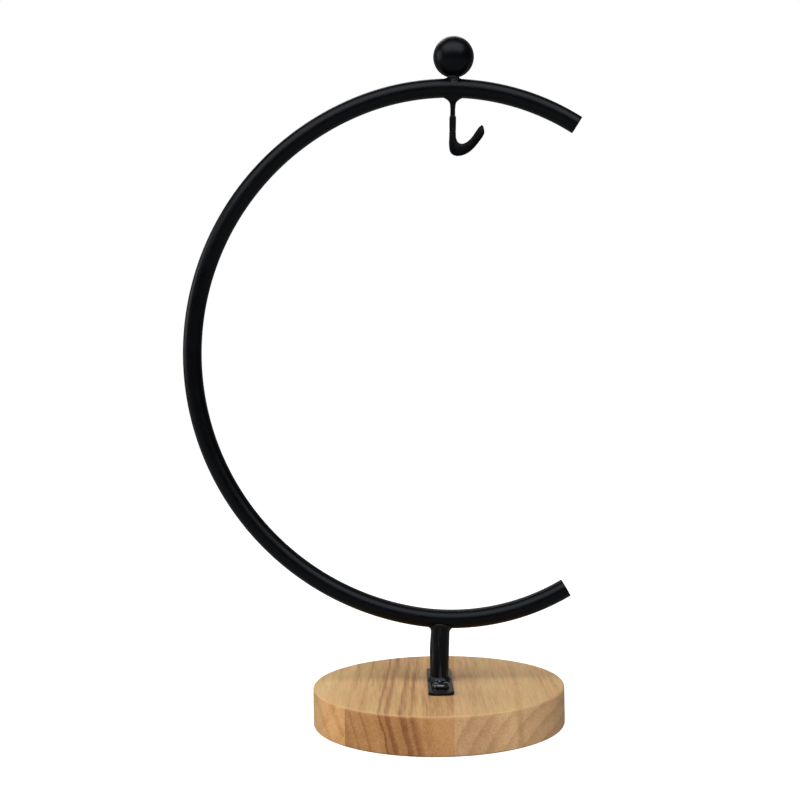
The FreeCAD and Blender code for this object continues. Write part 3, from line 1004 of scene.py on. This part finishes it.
def make_finial_weld():
    """Bead that carries the ball and runs down over the crown of the tube in streaks."""
    waist, foot, seed = 2.55 * MM, 3.5 * MM, 0.9
    top = TUBE_RADIUS + 1.6 * MM
    lobes = ((17, 0.45), (11, 0.35), (5, 0.2))
    stand = standing(HANGER, HANGER_AXIS)
    rings = []
    # The waist under the ball: radius, height over the tube's middle line, ripple.
    for radius, height, depth in (
            (1.2 * MM, top, 0.0), (waist, top - 0.2 * MM, 0.02),
            (waist, TUBE_RADIUS + 0.9 * MM, 0.05), (waist, TUBE_RADIUS + 0.5 * MM, 0.06),
            (waist * 1.04, TUBE_RADIUS + 0.15 * MM, 0.07),
            (waist * 1.12, TUBE_RADIUS - 0.3 * MM, 0.08)):
        ring = []
        for angle in angles(WELD_STEPS):
            push = radius * (1 + depth * weld_ripple(angle, seed, lobes))
            point = stand @ polar(push, angle, height)
            point.z = max(point.z, onto_tube(point, HANGER_AXIS).z + 0.3 * MM)
            ring.append(point)
        rings.append(ring)
    # The streaks on the tube: radius, millimetres proud of the tube.
    for radius, proud in (
            (foot * 0.86, 0.34), (foot * 0.95, 0.26), (foot * 1.03, 0.16), (foot * 1.1, 0.05),
            (foot * 1.12, 0.0)):
        ring = []
        for angle in angles(WELD_STEPS):
            push = radius * (1 + 0.13 * weld_ripple(angle, seed, lobes))
            point = stand @ Vector((
                0.92 * push * math.cos(angle), 1.04 * push * math.sin(angle), TUBE_RADIUS))
            point = onto_tube(point, HANGER_AXIS)
            point.z += proud * MM
            ring.append(point)
        rings.append(ring)
    under = []
    for point in circle(0.6 * MM, WELD_STEPS, TUBE_RADIUS):
        point = onto_tube(stand @ point, HANGER_AXIS)
        point.z -= 0.4 * MM
        under.append(point)
    weld("finial_bead", rings + [under], "finial_weld")


def make_hook_weld():
    """Flared weld that carries the hook's neck, drawn down in streaks from the tube."""
    rows = 20
    wide, deep, height = 4.4 * MM, 2.5 * MM, 4.3 * MM
    down = -HANGER_AXIS
    start = HANGER + down * TUBE_RADIUS
    lobes = ((11, 0.4), (7, 0.35), (4, 0.25))
    lean = Matrix.Rotation(HANGER_LEAN, 4, "Y")
    rings = []
    for row in range(rows + 1):
        share = row / rows
        flare = (1 - share) ** 3.2
        ring = []
        for angle in angles(WELD_STEPS):
            ripple = weld_ripple(angle, 1.7, lobes)
            reach = math.hypot(wide * math.cos(angle), deep * math.sin(angle))
            radius = NECK_RADIUS + 0.05 * MM + (reach - NECK_RADIUS) * flare
            radius *= 1 + 0.07 * ripple * (0.3 + flare)
            point = start + lean @ polar(radius, angle)
            point.z = onto_tube(point, down).z - height * share
            point.x += down.x * height * share
            ring.append(point)
        rings.append(ring)
    closing = [
        start + down * height + lean @ point
        for point in circle(NECK_RADIUS * 0.8, WELD_STEPS)]
    inside = []
    for offset in circle(0.6 * MM, WELD_STEPS):
        point = start + offset
        point.z = onto_tube(point, down).z + 0.3 * MM
        inside.append(point)
    weld("hook_flare", [inside] + rings + [closing], "hook_weld", PAINT)


# --- ball ---
def make_ball():
    """Solid ball, ground a little unevenly."""
    shape = bmesh.new()
    bmesh.ops.create_cube(shape, size=2.0)
    bmesh.ops.subdivide_edges(shape, edges=shape.edges, cuts=31, use_grid_fill=True)
    for vertex in shape.verts:
        # Even out the squares before they are blown up to the ball.
        x, y, z = (math.tan(value * math.pi / 4) for value in vertex.co)
        round_direction = Vector((x, y, z)).normalized()
        dent = 0.02 * MM * (unevenness(round_direction * BALL_RADIUS, 5.0, 1.0) - 1)
        vertex.co = BALL_CENTRE + round_direction * (BALL_RADIUS + dent)
    mesh = bpy.data.meshes.new("ball")
    shape.to_mesh(mesh)
    shape.free()
    piece("ground_ball", outward(mesh), PAINT, "black_paint", "finial_ball")


# --- hook ---
def spline_through(stations, values, wanted):
    """Natural cubic spline through rows of values, read at the wanted stations."""
    stations, values = np.array(stations), np.array(values, float)
    gaps = np.diff(stations)
    count = len(stations)
    system = np.eye(count)
    right = np.zeros_like(values)
    for row in range(1, count - 1):
        before, after = gaps[row - 1], gaps[row]
        system[row, row - 1:row + 2] = before, 2 * (before + after), after
        right[row] = 6 * (
            (values[row + 1] - values[row]) / after
            - (values[row] - values[row - 1]) / before)
    curvature = np.linalg.solve(system, right)
    result = []
    for station in wanted:
        row = min(max(int(np.searchsorted(stations, station)) - 1, 0), count - 2)
        gap = gaps[row]
        a, b = (stations[row + 1] - station) / gap, (station - stations[row]) / gap
        result.append(
            a * values[row] + b * values[row + 1]
            + ((a ** 3 - a) * curvature[row] + (b ** 3 - b) * curvature[row + 1]) * gap ** 2 / 6)
    return np.array(result)


def rounded(value, squareness):
    return math.copysign(abs(value) ** (2 / squareness), value)


def make_hook():
    """Round neck that is forged out below a shoulder into a flattened open bow."""
    count, bow_steps, neck_steps = 56, 130, 26
    neck, into_weld, into_bow = NECK_LENGTH / MM, 0.6, 0.12
    middles = [((a[0] + b[0]) / 2, (a[1] + b[1]) / 2) for a, b, _ in BOW]
    stations = [0.0]
    for (x0, z0), (x1, z1) in zip(middles, middles[1:]):
        stations.append(stations[-1] + math.hypot(x1 - x0, z1 - z0))
    wanted = np.linspace(0, stations[-1], bow_steps)
    bow = spline_through(stations, [(*a, *b, thick) for a, b, thick in BOW], wanted)
    to_world = standing(HANGER - HANGER_AXIS * TUBE_RADIUS, HANGER_AXIS)
    rings = [
        circle(NECK_RADIUS / MM, count, into_weld - (neck + into_weld - into_bow) * share)
        for share in np.linspace(0, 1, neck_steps)]
    for down, (tx, tz, bx, bz, thick) in zip(wanted, bow):
        ease = min(1.0, 0.9 + 0.1 * down / 0.35)
        middle = Vector(((tx + bx) / 2, 0, (tz + bz) / 2 - neck))
        half = Vector(((tx - bx) / 2, 0, (tz - bz) / 2)) * ease
        rings.append([
            middle + half * rounded(math.cos(turn), BAR_SQUARENESS)
            + Vector((0, thick / 2 * ease * rounded(math.sin(turn), BAR_SQUARENESS), 0))
            for turn in angles(count)])
    tip = rings[-1]
    centre = sum(tip, Vector()) / count
    ahead = (centre - sum(rings[-4], Vector()) / count).normalized()
    for share, push in ((0.9, 0.12), (0.7, 0.26), (0.4, 0.36), (0.1, 0.4)):
        rings.append([centre + (point - centre) * share + ahead * push for point in tip])
    placed = []
    for ring in rings:
        middle = sum(ring, Vector()) / count
        row = []
        for point in ring:
            out = (point - middle).normalized()
            forged = (
                0.07 * unevenness(point * MM, 2.6, 2.0) + 0.03 * unevenness(point * MM, 0.9, 5.0))
            nick = -0.13 * math.exp(-((point.z + neck + NICK_DROP) / NICK_WIDTH) ** 2)
            nick *= point.x < 2.2
            free = 1.0 if point.z < -neck else 0.35
            row.append(to_world @ ((point + out * (forged * free - 0.04 + nick)) * MM))
        placed.append(row)
    piece(
        "forged_hook", skin(placed, angle=math.radians(50)), HOOK_PAINT, "black_hook", "hook")


make_staves()
make_plate()
make_screws()
make_hoop()
make_end_plugs()
make_post()
make_foot_weld()
make_head_weld()
make_finial_weld()
make_hook_weld()
make_ball()
make_hook()


# --- stage, light and camera ---
FLOOR_TONE = (0.42, 0.42, 0.42, 1)
FLOOR_GLOW = 0.965
DIM_IN_FRONT = (0.04, 0.041, 0.044, 1)
DIM_BEHIND = (0.32, 0.325, 0.34, 1)
LENS, SENSOR_WIDTH = 58.5, 36.0
CAMERA_PLACE = (-14.4 * MM, -556.15 * MM, 150.87 * MM)
CAMERA_PITCH, CAMERA_ROLL = math.radians(1.302), math.radians(1.0)


def stage_floor():
    """Pale sweep that the stand is set on: white to look at, dim in what the paint mirrors."""
    floor = Finish("pale floor", {"Roughness": 0.9, "Specular IOR Level": 0.1})
    floor.shader.inputs["Base Color"].default_value = FLOOR_TONE
    plain = Wire(floor, floor.shader.outputs[0])
    glow = floor.add(
        "ShaderNodeEmission", None, {"Color": (1, 1, 1, 1), "Strength": FLOOR_GLOW})
    shown = floor.add("ShaderNodeAddShader", None, {0: plain, 1: glow})
    seen = floor.add("ShaderNodeLightPath", output="Is Camera Ray")
    surface = floor.add("ShaderNodeMixShader", None, {0: seen, 1: plain, 2: shown})
    floor.feed(floor.output.inputs["Surface"], surface)
    radii = (0.02, 0.3, 1.0, 4.0)
    steps = 96
    points = [tuple(point) for radius in radii for point in circle(radius, steps)]
    faces = [tuple(range(steps))]
    for row in range(len(radii) - 1):
        for step in range(steps):
            after = (step + 1) % steps
            faces.append((
                row * steps + step, (row + 1) * steps + step,
                (row + 1) * steps + after, row * steps + after))
    mesh = bpy.data.meshes.new("floor")
    mesh.from_pydata(points, [], faces)
    mesh.materials.append(floor.material)
    made = linked("studio_floor", mesh)


def stage_light(name, place, target, size, power):
    light = bpy.data.lights.new(name, "AREA")
    light.shape = "RECTANGLE"
    light.size, light.size_y = size
    light.energy = power
    made = linked(name, light)
    made.location = place
    made.rotation_mode = "QUATERNION"
    made.rotation_quaternion = (Vector(target) - Vector(place)).to_track_quat("-Z", "Y")


def stage_world():
    """White to look at, dim in what it lights and mirrors, and less dim behind the stand."""
    world = bpy.data.worlds.new("studio")
    bpy.context.scene.world = world
    world.use_nodes = True
    world.node_tree.nodes.clear()
    nodes = Nodes(world.node_tree)
    _, backwards, _ = nodes.split(nodes.add("ShaderNodeTexCoord", output="Generated"))
    lit = nodes.mix(backwards.between(0.3, 1.0), DIM_IN_FRONT, DIM_BEHIND)
    seen = nodes.add("ShaderNodeLightPath", output="Is Camera Ray")
    colour = nodes.mix(seen, lit, (1.0, 1.0, 1.0, 1))
    shown = nodes.add("ShaderNodeBackground", None, {"Color": colour, "Strength": 1.0})
    nodes.feed(nodes.tree.nodes.new("ShaderNodeOutputWorld").inputs["Surface"], shown)


def set_camera():
    lens = bpy.data.cameras.new("camera")
    lens.lens, lens.sensor_width = LENS, SENSOR_WIDTH
    made = linked("camera", lens)
    look = Vector((0, math.cos(CAMERA_PITCH), -math.sin(CAMERA_PITCH)))
    made.location = CAMERA_PLACE
    made.rotation_mode = "QUATERNION"
    made.rotation_quaternion = Quaternion(look, CAMERA_ROLL) @ look.to_track_quat("-Z", "Y")
    bpy.context.scene.camera = made


stage_floor()
stage_light("front overhead softbox", (-0.04, -0.66, 1.0), (0, 0, 0.12), (2.2, 0.95), 22.5)
stage_light("left softbox", (-1.0, 0.02, 0.42), (0, 0, 0.15), (0.6, 0.6), 3.0)
stage_light("weak back softbox", (-0.1, 0.85, 1.0), (0, 0, 0.15), (0.8, 0.5), 2.2)
stage_world()
set_camera()
bpy.context.scene.view_settings.view_transform = "Standard"
